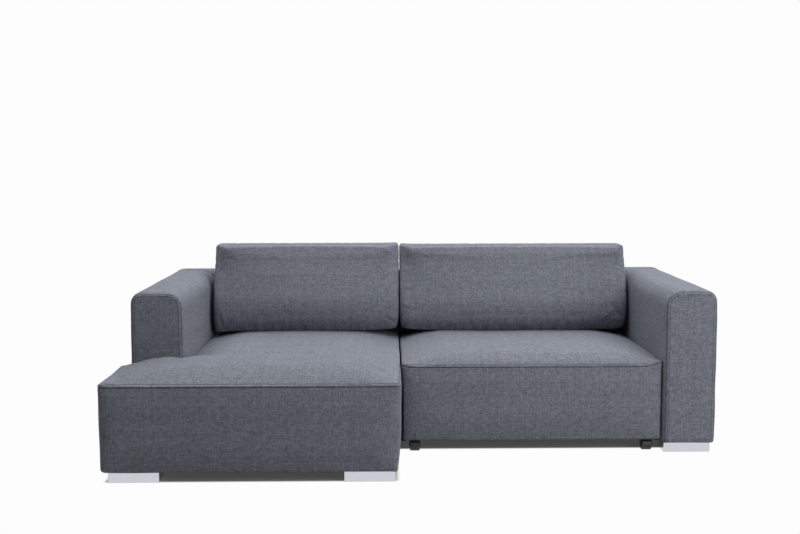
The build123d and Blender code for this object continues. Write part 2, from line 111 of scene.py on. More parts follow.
def swell(a, b, waves):
    # uneven soft swell of a few crossing waves, about -1 to 1; a wave has a length, a turn and a shift
    total = np.zeros(len(a))
    for length, turn, shift in waves:
        total += np.sin((a * math.cos(turn) + b * math.sin(turn)) * math.tau / length + shift)
    return total / len(waves)


def near(value, middle, reach):
    return np.exp(-(((value - middle) / reach) ** 2))


def fromPlane(places, point, direction):
    return (places - np.array(point)) @ np.array(direction)


def facingFront(normals, gain, start):
    # 0 to 1, growing as the cloth turns to the front
    return np.clip(-gain * normals[:, 1] - start, 0, 1)


def squareOff(across, along):
    # shares inside a quarter round, drawn out to the square corner round it
    grow = np.hypot(across, along) / np.maximum(np.maximum(across, along), 0.01)
    return np.minimum(across * grow, 1), np.minimum(along * grow, 1)


def unite(nodes):
    boxes = [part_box(node) for node in nodes]
    return (
        Vector([min(b[0][i] for b in boxes) for i in range(3)]),
        Vector([max(b[1][i] for b in boxes) for i in range(3)]),
    )


def addBlock(low, high):
    # a filler block, grown together with the cover by the remesh
    middle = (Vector(low) + Vector(high)) / 2
    deselectAll()
    bpy.ops.mesh.primitive_cube_add(size=1, location=middle)
    block = bpy.context.object
    block.scale = Vector(high) - Vector(low)
    bpy.ops.object.transform_apply()
    return block


def softCopy(name, nodes, voxel, fillers=()):
    # the nodes' own forms, merged into one even skin
    blocks = [addBlock(*filler) for filler in fillers]
    deselectAll()
    copies = [bpy.data.objects.new(name, frame["nodes"][node].data.copy()) for node in nodes]
    for copy in copies:
        bpy.context.collection.objects.link(copy)
    for copy in copies + blocks:
        copy.select_set(True)
    piece = copies[0]
    bpy.context.view_layer.objects.active = piece
    if len(copies) + len(blocks) > 1:
        bpy.ops.object.join()
    piece.name = name
    piece.data.name = name
    setMode("EDIT")
    bpy.ops.mesh.select_all(action="SELECT")
    bpy.ops.mesh.remove_doubles(threshold=1e-5)
    setMode("OBJECT")
    remesh = piece.modifiers.new("Skin", "REMESH")
    remesh.mode = "VOXEL"
    remesh.voxel_size = voxel
    bpy.ops.object.modifier_apply(modifier=remesh.name)
    keepOuter(piece)
    piece.data.materials.clear()
    return piece


def keepOuter(piece):
    # only the skin that holds the leftmost point stays
    setMode("EDIT")
    bpy.ops.mesh.select_mode(type="VERT")
    bpy.ops.mesh.select_all(action="DESELECT")
    setMode("OBJECT")
    first = int(np.argmin(readCoords(piece)[:, 0]))
    piece.data.vertices[first].select = True
    setMode("EDIT")
    bpy.ops.mesh.select_linked()
    bpy.ops.mesh.select_all(action="INVERT")
    bpy.ops.mesh.delete(type="VERT")
    setMode("OBJECT")


def dome(piece, seam, low, high, top, falls, least=0.014):
    # the square top above the seam sinks towards its edges; a fall has a side, a depth and a reach
    places = readCoords(piece)
    x, y, z = places.T
    gaps = {"left": x - low.x, "right": high.x - x, "front": y - low.y, "rear": high.y - y}
    rise = np.full(len(places), top - seam)
    for side, depth, reach in falls:
        rise -= depth * np.exp(-np.maximum(gaps[side], 0) / reach)
    share = np.clip((z - seam) / (high.z - seam), 0, 1)
    above = z > seam
    z[above] = (seam + share * np.maximum(rise, least))[above]
    writeCoords(piece, places)


def settle(piece, seam, top):
    # stuffing lifts the crown, which is brought back to its height
    places = readCoords(piece)
    z = places[:, 2]
    above = z > seam
    z[above] = seam + (z[above] - seam) * (top - seam) / (z.max() - seam)
    writeCoords(piece, places)


def straighten(piece, low, high, ends):
    # ends that relaxing drew in come out to the full width again, level by level
    places = readCoords(piece)
    x, z = places[:, 0], places[:, 2]
    levels = np.linspace(z.min(), z.max(), ends["levels"])
    middles, firsts, lasts = [], [], []
    for a, b in zip(levels, levels[1:]):
        row = (z >= a) & (z <= b)
        if row.any():
            middles.append((a + b) / 2)
            firsts.append(x[row].min())
            lasts.append(x[row].max())
    first = np.interp(z, middles, firsts)
    last = np.interp(z, middles, lasts)
    wide = low.x + (x - first) * (high.x - low.x) / (last - first)
    # the foot stays round, and the upper edge keeps a part of its turn
    lower = np.clip((z - low.z - ends["footGap"]) / ends["footReach"], 0, 1)
    upper = np.clip(ends["topShare"] + (high.z - z) / ends["topReach"], 0, 1)
    x += (wide - x) * (lower * upper)
    writeCoords(piece, places)


def relax(piece, rounds, where=None):
    # smoothing, all over or on the chosen points alone
    activate(piece)
    modifier = piece.modifiers.new("Relax", "SMOOTH")
    modifier.iterations = rounds
    if where is not None:
        modifier.vertex_group = makeGroup(piece, "relaxed", where)
    bpy.ops.object.modifier_apply(modifier=modifier.name)
    piece.vertex_groups.clear()


def refit(piece, low, high, keepAbove=None):
    # relaxing shrinks a form, so it is drawn out again to the space it has;
    # a crown above a seam keeps its height
    places = readCoords(piece)
    for axis in range(3):
        first, last = places[:, axis].min(), places[:, axis].max()
        if axis == 2 and keepAbove:
            share = np.clip((keepAbove - places[:, 2]) / (keepAbove - first), 0, 1)
            places[:, 2] += (low.z - first) * share
        else:
            wanted = high[axis] - low[axis]
            places[:, axis] = low[axis] + (places[:, axis] - first) * wanted / (last - first)
    writeCoords(piece, places)


def drawOut(piece, axis, corner, bottom, reach):
    # relaxing rounds a lower edge off; it is drawn out again to its full corner, so that no board shows
    places = readCoords(piece)
    across = np.clip((places[:, axis] - corner + reach) / reach, 0, 1)
    down = np.clip((bottom + reach - places[:, 2]) / reach, 0, 1)
    both = (across > 0) & (down > 0)
    across, down = squareOff(across, down)
    places[both, axis] = corner - reach + reach * across[both]
    places[both, 2] = bottom + reach - reach * down[both]
    writeCoords(piece, places)


def refine(piece):
    activate(piece)
    modifier = piece.modifiers.new("Refine", "SUBSURF")
    bpy.ops.object.modifier_apply(modifier=modifier.name)


clothRun = {"quality": 4, "mass": 0.3, "frames": 20}
firmStuffing = {"pressure": 4.0, "tension": 20, "bending": 4.0, "slack": 0.0, "cap": 0.008}


def inflate(piece, settings, held):
    # stuffing: cloth under pressure, held where the cover is stapled, sewn or pressed on a neighbour
    activate(piece)
    start = readCoords(piece)
    cloth = piece.modifiers.new("Stuffing", "CLOTH")
    setup = cloth.settings
    setup.quality = clothRun["quality"]
    setup.mass = clothRun["mass"]
    setup.tension_stiffness = settings["tension"]
    setup.compression_stiffness = settings["tension"]
    setup.bending_stiffness = settings["bending"]
    setup.use_pressure = True
    setup.uniform_pressure_force = settings["pressure"]
    setup.shrink_min = -settings["slack"]
    setup.vertex_group_mass = makeGroup(piece, "held", held)
    setup.effector_weights.gravity = 0
    for number in range(1, clothRun["frames"] + 1):
        scene.frame_set(number)
    bpy.ops.object.modifier_apply(modifier=cloth.name)
    scene.frame_set(1)
    move = readCoords(piece) - start
    length = np.linalg.norm(move, axis=1, keepdims=True)
    writeCoords(piece, start + move * np.minimum(1, settings["cap"] / np.maximum(length, 1e-9)))
    piece.vertex_groups.clear()
    print(piece.name, "stuffed, largest move", round(float(length.max()), 4))


sewing = {
    "half": 0.003,  # from the middle of a sewn line to its edges
    "drawnShare": 0.5,
    "uneven": 0.35,
    "gatherAway": 0.004,
    "gatherReach": 0.009,
    "slant": (1.0, 0.83, 0.71),  # so that the gathers run on round corners
    "waves": ((1.0, 0.3), (1.37, 1.9), (2.3, 4.1)),  # lengths in pitches, and shifts
    "heldReach": 0.007,
    "heldTurn": 0.6,
    "sideTurn": 0.85,
    "sideGain": 4,
}


def sew(piece, point, direction, where, sewn):
    # a sewn line: three cuts along a plane, the middle one drawn in, the cloth beside it gathered
    activate(piece)
    half = sewing["half"]
    direction = Vector(direction).normalized()
    setMode("EDIT")
    for offset in (-half, 0, half):
        bpy.ops.mesh.select_all(action="SELECT")
        cut = Vector(point) + direction * offset
        bpy.ops.mesh.bisect(plane_co=cut, plane_no=direction, threshold=1e-6)
    setMode("OBJECT")
    places, normals = readSkin(piece)
    away = fromPlane(places, point, direction)
    share = where(places, normals)
    run = places @ np.array(sewing["slant"])
    wave = swell(run, run, [(sewn["pitch"] * length, 0, shift) for length, shift in sewing["waves"]])
    drawn = near(away, 0, half * sewing["drawnShare"]) * sewn["depth"] * (1 + sewing["uneven"] * wave)
    beside = near(np.abs(away), half + sewing["gatherAway"], sewing["gatherReach"])
    gathered = sewn["pucker"] * wave * beside
    push(piece, places, normals, (gathered - drawn) * share)


def heldFaces(normals, turn, sideways):
    # cloth that looks down, to the rear or sideways lies on boards or neighbours
    return (normals[:, 2] < -turn["under"]) | (normals[:, 1] > turn["rear"]) | (sideways > turn["side"])


def onSeam(places, normals, seam):
    # the sewn line round the sides, which holds while the piece is stuffed
    close = np.abs(places[:, 2] - seam) < sewing["heldReach"]
    return close & (np.abs(normals[:, 2]) < sewing["heldTurn"])


def sidesBefore(rear):
    # the upright cloth in front of a plane, fading out where it turns over the top
    def where(places, normals):
        upright = np.clip((sewing["sideTurn"] - np.abs(normals[:, 2])) * sewing["sideGain"], 0, 1)
        return upright * (places[:, 1] < rear)

    return where


def weaveMap(piece, wrapped=False):
    # weave places in metres: flat on each panel, running on from the front over the top, or round an arm
    mesh = piece.data
    layer = mesh.uv_layers.new(name="weave")
    corners = readArray(mesh.loops, "vertex_index", kind=np.int32)
    totals = readArray(mesh.polygons, "loop_total", kind=np.int32)
    normals = np.repeat(readArray(mesh.polygons, "normal", 3).reshape(-1, 3), totals, axis=0)
    x, y, z = readCoords(piece)[corners].T
    facing = np.abs(normals).argmax(1)
    across = np.where(facing == 0, y, x)
    upward = np.where(facing == 0, z, z + y)
    if wrapped:
        roundArm = facing != 1
        across = np.where(roundArm, x + (z.max() - z) * np.sign(normals[:, 0]), x)
        upward = np.where(roundArm, y, z)
    layer.data.foreach_set("uv", np.stack([across, upward], 1).astype(np.float32).ravel())


def markSeam(piece, distance):
    # signed distance from a sewn line, read by the cloth to paint shade along the join and to draw its top
    # stitching
    layer = piece.data.attributes.new("seam", "FLOAT", "POINT")
    layer.data.foreach_set("value", np.asarray(distance, np.float32))


def finishSoft(piece, body, nodes, wrapped=False):
    if "seam" not in piece.data.attributes:
        markSeam(piece, np.ones(len(piece.data.vertices)))
    activate(piece)
    bpy.ops.object.shade_smooth()
    weaveMap(piece, wrapped)
    piece.data.materials.append(materials["woven_fabric"])
    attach(piece, body)
    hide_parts(*nodes)
    print(piece.name, len(piece.data.polygons), "faces")


# Small helpers for materials
def linear(code):
    # sRGB code to linear light
    parts = [int(code[i : i + 2], 16) / 255 for i in (1, 3, 5)]
    return tuple(p / 12.92 if p <= 0.04045 else ((p + 0.055) / 1.055) ** 2.4 for p in parts) + (1.0,)


def setInputs(tree, node, values):
    for socket, value in values.items():
        if isinstance(value, bpy.types.NodeSocket):
            tree.links.new(value, node.inputs[socket])
        else:
            node.inputs[socket].default_value = value


def addNode(tree, kind, values=None, **settings):
    node = tree.nodes.new(kind)
    for name, value in settings.items():
        setattr(node, name, value)
    setInputs(tree, node, values or {})
    return node


def compute(tree, kind, *values):
    return addNode(tree, "ShaderNodeMath", dict(enumerate(values)), operation=kind).outputs[0]


def computeVector(tree, kind, *values):
    return addNode(tree, "ShaderNodeVectorMath", dict(enumerate(values)), operation=kind).outputs["Vector"]


def bell(tree, value, place, width):
    away = compute(tree, "DIVIDE", compute(tree, "ADD", value, -place), width)
    return compute(tree, "EXPONENT", compute(tree, "MULTIPLY", compute(tree, "MULTIPLY", away, away), -1))


def spread(tree, value, before=(0, 1), after=(0, 1), **settings):
    # one range of values drawn out to another
    limits = {"From Min": before[0], "From Max": before[1], "To Min": after[0], "To Max": after[1]}
    return addNode(tree, "ShaderNodeMapRange", {"Value": value, **limits}, **settings).outputs["Result"]


def addNoise(tree, values, dimensions="3D"):
    return addNode(tree, "ShaderNodeTexNoise", values, noise_dimensions=dimensions).outputs["Fac"]


def objectPlace(tree):
    return addNode(tree, "ShaderNodeTexCoord").outputs["Object"]


def addStreaks(tree, stretch, values):
    # noise drawn out along the object's axes
    place = addNode(tree, "ShaderNodeMapping", {"Vector": objectPlace(tree), "Scale": stretch})
    return addNoise(tree, {"Vector": place.outputs["Vector"], "Scale": 1.0, **values})


def addBump(tree, shader, height, strength, distance):
    bump = addNode(tree, "ShaderNodeBump", {"Height": height, "Strength": strength, "Distance": distance})
    setInputs(tree, shader, {"Normal": bump.outputs["Normal"]})


def ramp(tree, factor, stops):
    node = addNode(tree, "ShaderNodeValToRGB", {"Fac": factor})
    node.color_ramp.elements[0].position = stops[0][0]
    node.color_ramp.elements[0].color = linear(stops[0][1])
    node.color_ramp.elements[1].position = stops[-1][0]
    node.color_ramp.elements[1].color = linear(stops[-1][1])
    for place, code in stops[1:-1]:
        node.color_ramp.elements.new(place).color = linear(code)
    return node.outputs["Color"]


def startMaterial(name):
    material = bpy.data.materials.new(name)
    material.use_nodes = True
    tree = material.node_tree
    return material, tree, tree.nodes["Principled BSDF"]


materials = {}

# Polyester slub weave, blue-grey melange: thin light and dark yarns cross in streaks, matte, a faint bloom
fabric = {  # lengths in millimetres
    "dark": "#62666f",
    "middle": "#7d818b",
    "light": "#989ca6",
    "bloom": "#b9bdc8",
    "yarn": 2.6,  # real yarns are about 1.2, drawn coarser so that they show
    "weftLength": 27,
    "warpLength": 21,
    "slubShift": 91.7,  # slub lengths by which yarns differ at most
    "laneGap": 7.31,  # keeps the slubs of neighbours apart
    "yarnShare": 0.14,
    "fleckScale": 0.4,
    "fleckShare": 0.5,
    "toneRange": (0.86, 1.92),
    "joinWidth": 1.5,
    # painted shade along the drawn-in join, standing in for the groove's shadow
    "joinPaintedShade": -0.62,
    "stitchAway": 11,
    "stitchPitch": 5.5,
    "stitchWidth": 1.3,
    "stitchDash": (-0.95, -0.4),
    "stitchShade": -0.66,
    "gatherPitch": 17,
    "gatherAway": 5,
    "gatherReach": 9,
    "relief": {"slub": 0.8, "weave": 0.22, "stitch": -0.7, "join": -2.2, "gather": 2.6},
    "reliefStrength": 0.5,
    "reliefDepth": 0.0012,  # metres
}
material, tree, shader = startMaterial("blue_grey_slub_weave")
mapNode = addNode(tree, "ShaderNodeUVMap", uv_map="weave")
millimetres = computeVector(tree, "MULTIPLY", mapNode.outputs["UV"], (1000, 1000, 1000))
split = addNode(tree, "ShaderNodeSeparateXYZ", {"Vector": millimetres})
streaks, threads = [], []
for along, across, length in (("X", "Y", fabric["weftLength"]), ("Y", "X", fabric["warpLength"])):
    # every yarn has slubs of its own, shifted at random along it
    rows = compute(tree, "DIVIDE", split.outputs[across], fabric["yarn"])
    number = compute(tree, "FLOOR", rows)
    chance = addNode(tree, "ShaderNodeTexWhiteNoise", {"W": number}, noise_dimensions="1D").outputs["Value"]
    run = compute(tree, "DIVIDE", split.outputs[along], length)
    run = compute(tree, "MULTIPLY_ADD", chance, fabric["slubShift"], run)
    lane = compute(tree, "MULTIPLY", number, fabric["laneGap"])
    place = addNode(tree, "ShaderNodeCombineXYZ", {"X": run, "Y": lane}).outputs["Vector"]
    slub = addNoise(tree, {"Vector": place, "Scale": 1.0, "Detail": 1.0}, "2D")
    streaks.append(compute(tree, "MULTIPLY_ADD", chance, fabric["yarnShare"], slub))
    threads.append(compute(tree, "SINE", compute(tree, "MULTIPLY", rows, math.pi)))
fleck = addNoise(tree, {"Vector": millimetres, "Scale": fabric["fleckScale"], "Detail": 1.0}, "2D")
mixed = compute(tree, "MULTIPLY_ADD", fleck, fabric["fleckShare"], compute(tree, "ADD", *streaks))
tone = spread(tree, mixed, before=fabric["toneRange"])
dyed = ramp(tree, tone, ((0, fabric["dark"]), (0.5, fabric["middle"]), (1, fabric["light"])))
# sewn lines: painted shade along the drawn-in join and a row of top stitches beside it, the cloth a little
# gathered
seamMark = addNode(tree, "ShaderNodeAttribute", attribute_name="seam").outputs["Fac"]
seamAway = compute(tree, "MULTIPLY", seamMark, 1000)
join = bell(tree, seamAway, 0, fabric["joinWidth"])
stitchRun = compute(tree, "ADD", split.outputs["X"], split.outputs["Y"])
stitchTurn = compute(tree, "MULTIPLY", stitchRun, math.tau / fabric["stitchPitch"])
dash = spread(tree, compute(tree, "SINE", stitchTurn), before=fabric["stitchDash"])
stitchRow = bell(tree, seamAway, fabric["stitchAway"], fabric["stitchWidth"])
stitch = compute(tree, "MULTIPLY", stitchRow, dash)
shade = compute(tree, "MULTIPLY_ADD", stitch, fabric["stitchShade"], 1)
# darkens the cloth along the join: painted shade of the drawn-in seam
shade = compute(tree, "MULTIPLY_ADD", join, fabric["joinPaintedShade"], shade)
seamShadedTone = addNode(tree, "ShaderNodeVectorMath", {0: dyed, "Scale": shade}, operation="SCALE")
gatherRun = compute(tree, "DIVIDE", stitchRun, fabric["gatherPitch"])
gatherFolds = addNoise(tree, {"W": gatherRun, "Scale": 1.0}, "1D")
gatherPlace = bell(tree, seamAway, fabric["gatherAway"], fabric["gatherReach"])
heights = {
    "weave": compute(tree, "MULTIPLY", *threads),
    "stitch": stitch,
    "join": join,
    "gather": compute(tree, "MULTIPLY", gatherFolds, gatherPlace),
}
relief = compute(tree, "MULTIPLY", tone, fabric["relief"]["slub"])
for name, height in heights.items():
    relief = compute(tree, "MULTIPLY_ADD", height, fabric["relief"][name], relief)
addBump(tree, shader, relief, fabric["reliefStrength"], fabric["reliefDepth"])
clothFinish = {
    "Base Color": seamShadedTone.outputs["Vector"],
    "Roughness": 0.92,
    "Specular IOR Level": 0.18,
    "Sheen Weight": 0.06,
    "Sheen Roughness": 0.55,
    "Sheen Tint": linear(fabric["bloom"]),
}
setInputs(tree, shader, clothFinish)
materials["woven_fabric"] = material

# Satin chrome plate on steel: bright, mirror-like with a soft blur and fine polishing lines
chrome = {"colour": "#cccfd6", "lines": (4, 4, 900), "roughness": (0.16, 0.30)}
material, tree, shader = startMaterial("satin_chrome_plate")
polish = addStreaks(tree, chrome["lines"], {"Detail": 3})
chromeRough = spread(tree, polish, after=chrome["roughness"])
setInputs(tree, shader, {"Base Color": linear(chrome["colour"]), "Metallic": 1.0, "Roughness": chromeRough})
materials["chrome"] = material

# Zinc-plated steel: pale grey metal with a faint spangle and rolled streaks
zinc = {
    "spangle": 180,
    "tones": ((0.1, "#a4a8ad"), (0.9, "#bcc0c4")),
    "streaks": (900, 12, 900),
    "roughness": (0.3, 0.46),
}
material, tree, shader = startMaterial("zinc_plated_steel")
spangle = addNode(tree, "ShaderNodeTexVoronoi", {"Vector": objectPlace(tree), "Scale": zinc["spangle"]})
zincTone = ramp(tree, spangle.outputs["Color"], zinc["tones"])
rolled = addStreaks(tree, zinc["streaks"], {"Detail": 2})
zincRough = spread(tree, rolled, after=zinc["roughness"])
setInputs(tree, shader, {"Base Color": zincTone, "Metallic": 1.0, "Roughness": zincRough})
materials["zinc_steel"] = material


# Wood: long growth rings along the board, darker late wood, fine pores
def makeWood(name, along, colours, ringWidth, roughness):
    material, tree, shader = startMaterial(name)
    stretch = [1.0, 1.0, 1.0]
    stretch[along] = woodGrain["stretch"]
    ringScale = 1000 / ringWidth
    rings = addStreaks(tree, stretch, {"Scale": ringScale, "Detail": 3, "Distortion": woodGrain["wander"]})
    tones = ramp(tree, rings, tuple(zip(woodGrain["tonePlaces"], colours)))
    setInputs(tree, shader, {"Base Color": tones, "Roughness": roughness})
    addBump(tree, shader, rings, *woodGrain["relief"])
    return material


woodGrain = {"stretch": 0.06, "wander": 0.4, "tonePlaces": (0.3, 0.52, 0.72), "relief": (0.2, 0.0005)}
woods = {  # name, axis of the grain, tones from dark to light, ring width in millimetres, roughness
    # beech: warm, pale and close-grained
    "beech": ("planed_beech", 0, ("#b98a5c", "#caa071", "#d8b58a"), 14, 0.5),
    # spruce: yellow and dry, with wide rings
    "softwood": ("sawn_spruce", 0, ("#c79d64", "#d8b47d", "#e4c796"), 22, 0.7),
    # black-stained spruce: the dark boards beside the gaps, grain just visible
    "stained_timber": ("black_stained_spruce", 1, ("#17171a", "#1d1d20", "#242427"), 22, 0.75),
}
for slotName, wood in woods.items():
    materials[slotName] = makeWood(*wood)


# Grained black surfaces: one texture gives both the tones and the relief
def makeGrained(name, grain, tones, relief, roughness, texture="ShaderNodeTexNoise", output="Fac"):
    material, tree, shader = startMaterial(name)
    height = addNode(tree, texture, {"Vector": objectPlace(tree), **grain}).outputs[output]
    setInputs(tree, shader, {"Base Color": ramp(tree, height, tones), "Roughness": roughness})
    addBump(tree, shader, height, *relief)
    return material


# Moulded black polyamide: deep grey-black with a fine spark-eroded grain
materials["black_plastic"] = makeGrained(
    "moulded_black_polyamide",
    grain={"Scale": 1600, "Detail": 2},
    tones=((0.3, "#111214"), (0.7, "#1b1c1f")),
    relief=(0.25, 0.0003),
    roughness=0.48,
)

# Powder-coated steel: even black with a fine orange-peel
materials["black_steel"] = makeGrained(
    "black_powder_coat",
    grain={"Scale": 900, "Detail": 1},
    tones=((0.3, "#151618"), (0.7, "#1e1f22")),
    relief=(0.2, 0.0003),
    roughness=0.42,
)

# Black spunbonded lining: thin felt with pressed points
materials["lining"] = makeGrained(
    "black_spunbond_lining",
    grain={"Scale": 420},
    tones=((0.1, "#141517"), (0.6, "#26282b")),
    relief=(0.3, 0.0004),
    roughness=0.85,
    texture="ShaderNodeTexVoronoi",
    output="Distance",
)

# Elastic polypropylene webbing: dark grey, with paler ribs across it
webbing = {"rib": 0.004, "tones": ((0, "#2a2b2e"), (1, "#4a4c50")), "relief": (0.5, 0.0006), "roughness": 0.8}
material, tree, shader = startMaterial("elastic_webbing")
ribPlace = addNode(tree, "ShaderNodeSeparateXYZ", {"Vector": objectPlace(tree)}).outputs["Y"]
ribWave = compute(tree, "SINE", compute(tree, "MULTIPLY", ribPlace, math.tau / webbing["rib"]))
ribTone = spread(tree, ribWave, before=(-1, 1))
ribColour = ramp(tree, ribTone, webbing["tones"])
setInputs(tree, shader, {"Base Color": ribColour, "Roughness": webbing["roughness"]})
addBump(tree, shader, ribTone, *webbing["relief"])
materials["webbing"] = material

# CAD nodes that stay take the finish of their slot
for subpart in frame["record"]["subparts"]:
    node = frame["nodes"][subpart["node"]]
    node.data.materials.clear()
    node.data.materials.append(materials[subpart["material_slot"]])
print("materials made", len(materials))

# Fillers close the hollow behind a cover, so that one skin goes round it
filling = {"overlap": 0.004, "bottom": 0.06, "top": 0.30, "underSeam": 0.03}


def fillTop(low, high, seam):
    return (low.x, low.y, seam - filling["underSeam"]), high


def fillRound(frameNode, rear):
    # fills a cover round its timber frame
    frameLow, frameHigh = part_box(frameNode)
    overlap = filling["overlap"]
    return (
        (frameLow.x - overlap, frameLow.y - overlap, filling["bottom"]),
        (frameHigh.x + overlap, frameHigh.y + rear, frameHigh.z + overlap),
    )


# Chaise front block: domed top with a crest at the rear and three padded panels, sewn along a double seam
chaise = {
    "voxel": 0.012,
    "seam": 0.376,
    "top": 0.450,
    "falls": (
        ("left", 0.036, 0.06),
        ("left", 0.036, 0.30),
        ("right", 0.070, 0.055),
        ("front", 0.032, 0.024),
        ("front", 0.034, 0.13),
        ("rear", 0.010, 0.02),
    ),
    "relaxed": 6,  # rounds of smoothing
    "fullCorner": 0.005,  # the cover stands a little proud of the boards on the left
    "pressed": 0.005,  # pushed up against the arm and the seat pad
    "shoulder": 18,  # the right end rolls over softly
    "shoulderReach": 0.12,
    "shoulderFoot": 0.005,
    "edge": 14,  # and so does its front edge
    "edgeReach": 0.05,
    "edgeUnder": 0.012,
    "edgeFoot": 0.06,
    "lowerEdge": 0.03,
    "held": {"under": 0.5, "rear": 0.6, "side": 0.6},
    "stuffing": firmStuffing,
    "settled": 0.001,
    "cornerDip": 0.017,  # drawn down beside the arm's inner front corner
    "dipAway": 0.006,
    "dipReach": (0.032, 0.07),
    "dipAbove": 0.36,
    "taper": 0.016,  # the right panel is drawn in towards the floor
    "taperCurve": 3.5,  # most of it close to the floor
    "taperReach": 0.15,
    "loose": 0.0016,
    "waves": ((0.33, 0.4, 1.0), (0.21, 1.9, 2.2), (0.47, 2.6, 0.5)),
    "seamEnd": 0.01,
    "sewn": {"depth": 0.0036, "pucker": 0.0010, "pitch": 0.022},
    "fill": 0.85,
}
blockNodes = ("chaise_front_pad", "chaise_front_cover", "chaise_left_cover", "chaise_right_cover")
seam = chaise["seam"]
boardLow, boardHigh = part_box("chaise_front_board")
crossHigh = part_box("chaise_cross_board")[1]
low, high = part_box("chaise_front_pad")
overlap = filling["overlap"]
boardFiller = (
    (boardLow.x - overlap, boardLow.y - overlap, filling["bottom"]),
    (boardHigh.x + overlap, crossHigh.y, filling["top"]),
)
block = softCopy(
    "chaise_front_upholstery", blockNodes, chaise["voxel"], [boardFiller, fillTop(low, high, seam)]
)
dome(block, seam, low, high, chaise["top"], chaise["falls"])
relax(block, chaise["relaxed"])
blockLow, blockHigh = unite(blockNodes)
proud = Vector((chaise["fullCorner"], 0, 0))
refit(block, blockLow - proud, blockHigh + Vector((0, chaise["pressed"], 0)), seam)
places = readCoords(block)
x, y, z = places.T
shoulder = (z > seam + chaise["shoulderFoot"]) & (x > high.x - chaise["shoulderReach"])
relax(block, chaise["shoulder"], where=shoulder)
edge = (z < seam - chaise["edgeUnder"]) & (z > blockLow.z + chaise["edgeFoot"])
edge &= (x > high.x - chaise["edgeReach"]) & (y < low.y + chaise["edgeReach"])
relax(block, chaise["edge"], where=edge)
drawOut(block, 0, blockHigh.x, blockLow.z, chaise["lowerEdge"])
for again in range(2):  # twice, so that corners of three edges fill as well
    drawOut(block, 1, blockHigh.y + chaise["pressed"], blockLow.z, chaise["lowerEdge"])
places, normals = readSkin(block)
held = heldFaces(normals, chaise["held"], normals[:, 0])
inflate(block, chaise["stuffing"], held | onSeam(places, normals, seam))
settle(block, seam, chaise["top"] - chaise["settled"])
refine(block)
places = readCoords(block)
x, y, z = places.T
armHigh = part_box("left_arm_cover")[1]
dip = near(x, armHigh.x + chaise["dipAway"], chaise["dipReach"][0])
dip *= near(y, high.y, chaise["dipReach"][1]) * (z > chaise["dipAbove"])
z -= chaise["cornerDip"] * dip
below = np.clip((seam - z) / (seam - blockLow.z), 0, 1)
drawn = chaise["taper"] * below ** chaise["taperCurve"]
x -= drawn * np.exp(-(blockHigh.x - x) / chaise["taperReach"])
writeCoords(block, places)
normals = readCoords(block, "normal")
push(block, places, normals, chaise["loose"] * swell(x, y + z, chaise["waves"]))
sew(block, (0, 0, seam), (0, 0, 1), sidesBefore(high.y - chaise["seamEnd"]), chaise["sewn"])
markSeam(block, readCoords(block)[:, 2] - seam)
finishSoft(block, "sofa_frame", blockNodes)

# Chaise seat pad behind it
chaisePad = {
    "voxel": 0.012,
    "seam": 0.376,
    "top": 0.430,
    "falls": (("left", 0.038, 0.09), ("right", 0.054, 0.085), ("front", 0.024, 0.12), ("rear", 0.022, 0.22)),
    "relaxed": 16,
    "freeTurn": 0.45,  # only the top is stuffed
    "stuffing": {**firmStuffing, "bending": 3.0},
    "loose": 0.002,
    "waves": ((0.41, 0.5, 0.2), (0.27, 2.1, 1.2), (0.55, 1.3, 2.5)),
    "fill": 0.8,
}
seam = chaisePad["seam"]
padLow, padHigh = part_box("chaise_seat_pad")
padFiller = fillTop(padLow, padHigh, seam)
pad = softCopy("chaise_seat_upholstery", ("chaise_seat_pad",), chaisePad["voxel"], [padFiller])
dome(pad, seam, padLow, padHigh, chaisePad["top"], chaisePad["falls"])
relax(pad, chaisePad["relaxed"])
refit(pad, padLow, padHigh, seam)
normals = readCoords(pad, "normal")
inflate(pad, chaisePad["stuffing"], normals[:, 2] < chaisePad["freeTurn"])
settle(pad, seam, chaisePad["top"])
refine(pad)
places, normals = readSkin(pad)
loose = swell(places[:, 0], places[:, 1], chaisePad["waves"])
push(pad, places, normals, chaisePad["loose"] * loose * (normals[:, 2] > 0))
finishSoft(pad, "sofa_frame", ("chaise_seat_pad",))

# Pull-out seat: domed pad and a front panel that reaches down over the rollers
seat = {
    "voxel": 0.012,
    "seam": 0.368,
    "top": 0.430,
    "falls": (("left", 0.046, 0.065), ("right", 0.040, 0.075), ("front", 0.036, 0.06), ("rear", 0.022, 0.22)),
    "fillerFoot": 0.006,
    "fillerDepth": 0.014,
    "relaxed": 6,
    "shoulder": 12,  # the sides roll over softly, the front edge stays firm
    "shoulderFoot": 0.005,
    "firmFront": 0.03,
    "fullSide": 0.003,
    "held": {"under": 0.4, "rear": 0.5, "side": 0.6},
    "stuffing": firmStuffing,
    "loose": 0.0018,
    "looseAbove": -0.3,
    "waves": ((0.37, 0.3, 2.0), (0.24, 1.7, 0.2), (0.52, 2.4, 1.5)),
    "seamEnd": 0.05,
    "markEnd": 0.06,
    "sewn": {"depth": 0.0036, "pucker": 0.0010, "pitch": 0.022},
    "seamClimb": 0.020,
    "climbRight": (0.10, 1.6),  # reach and curve
    "climbLeft": (0.09, 2),
    "climbLeftShare": 0.3,
    "climbHeight": 0.026,
    "climbDepth": 0.06,
    "fill": 0.85,
}
seatNodes = ("seat_pad", "seat_front_cover")
seam = seat["seam"]
frontLow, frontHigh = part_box("seat_front_board")
coverLow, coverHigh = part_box("seat_front_cover")
seatLow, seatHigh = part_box("seat_pad")
panelFoot = max(frontLow.z, coverLow.z) + seat["fillerFoot"]
panelFiller = (
    (frontLow.x, coverHigh.y - filling["overlap"], panelFoot),
    (frontHigh.x, coverHigh.y + seat["fillerDepth"], filling["top"]),
)
seatPiece = softCopy(
    "pull_out_seat_upholstery", seatNodes, seat["voxel"], [panelFiller, fillTop(seatLow, seatHigh, seam)]
)
dome(seatPiece, seam, seatLow, seatHigh, seat["top"], seat["falls"])
relax(seatPiece, seat["relaxed"])
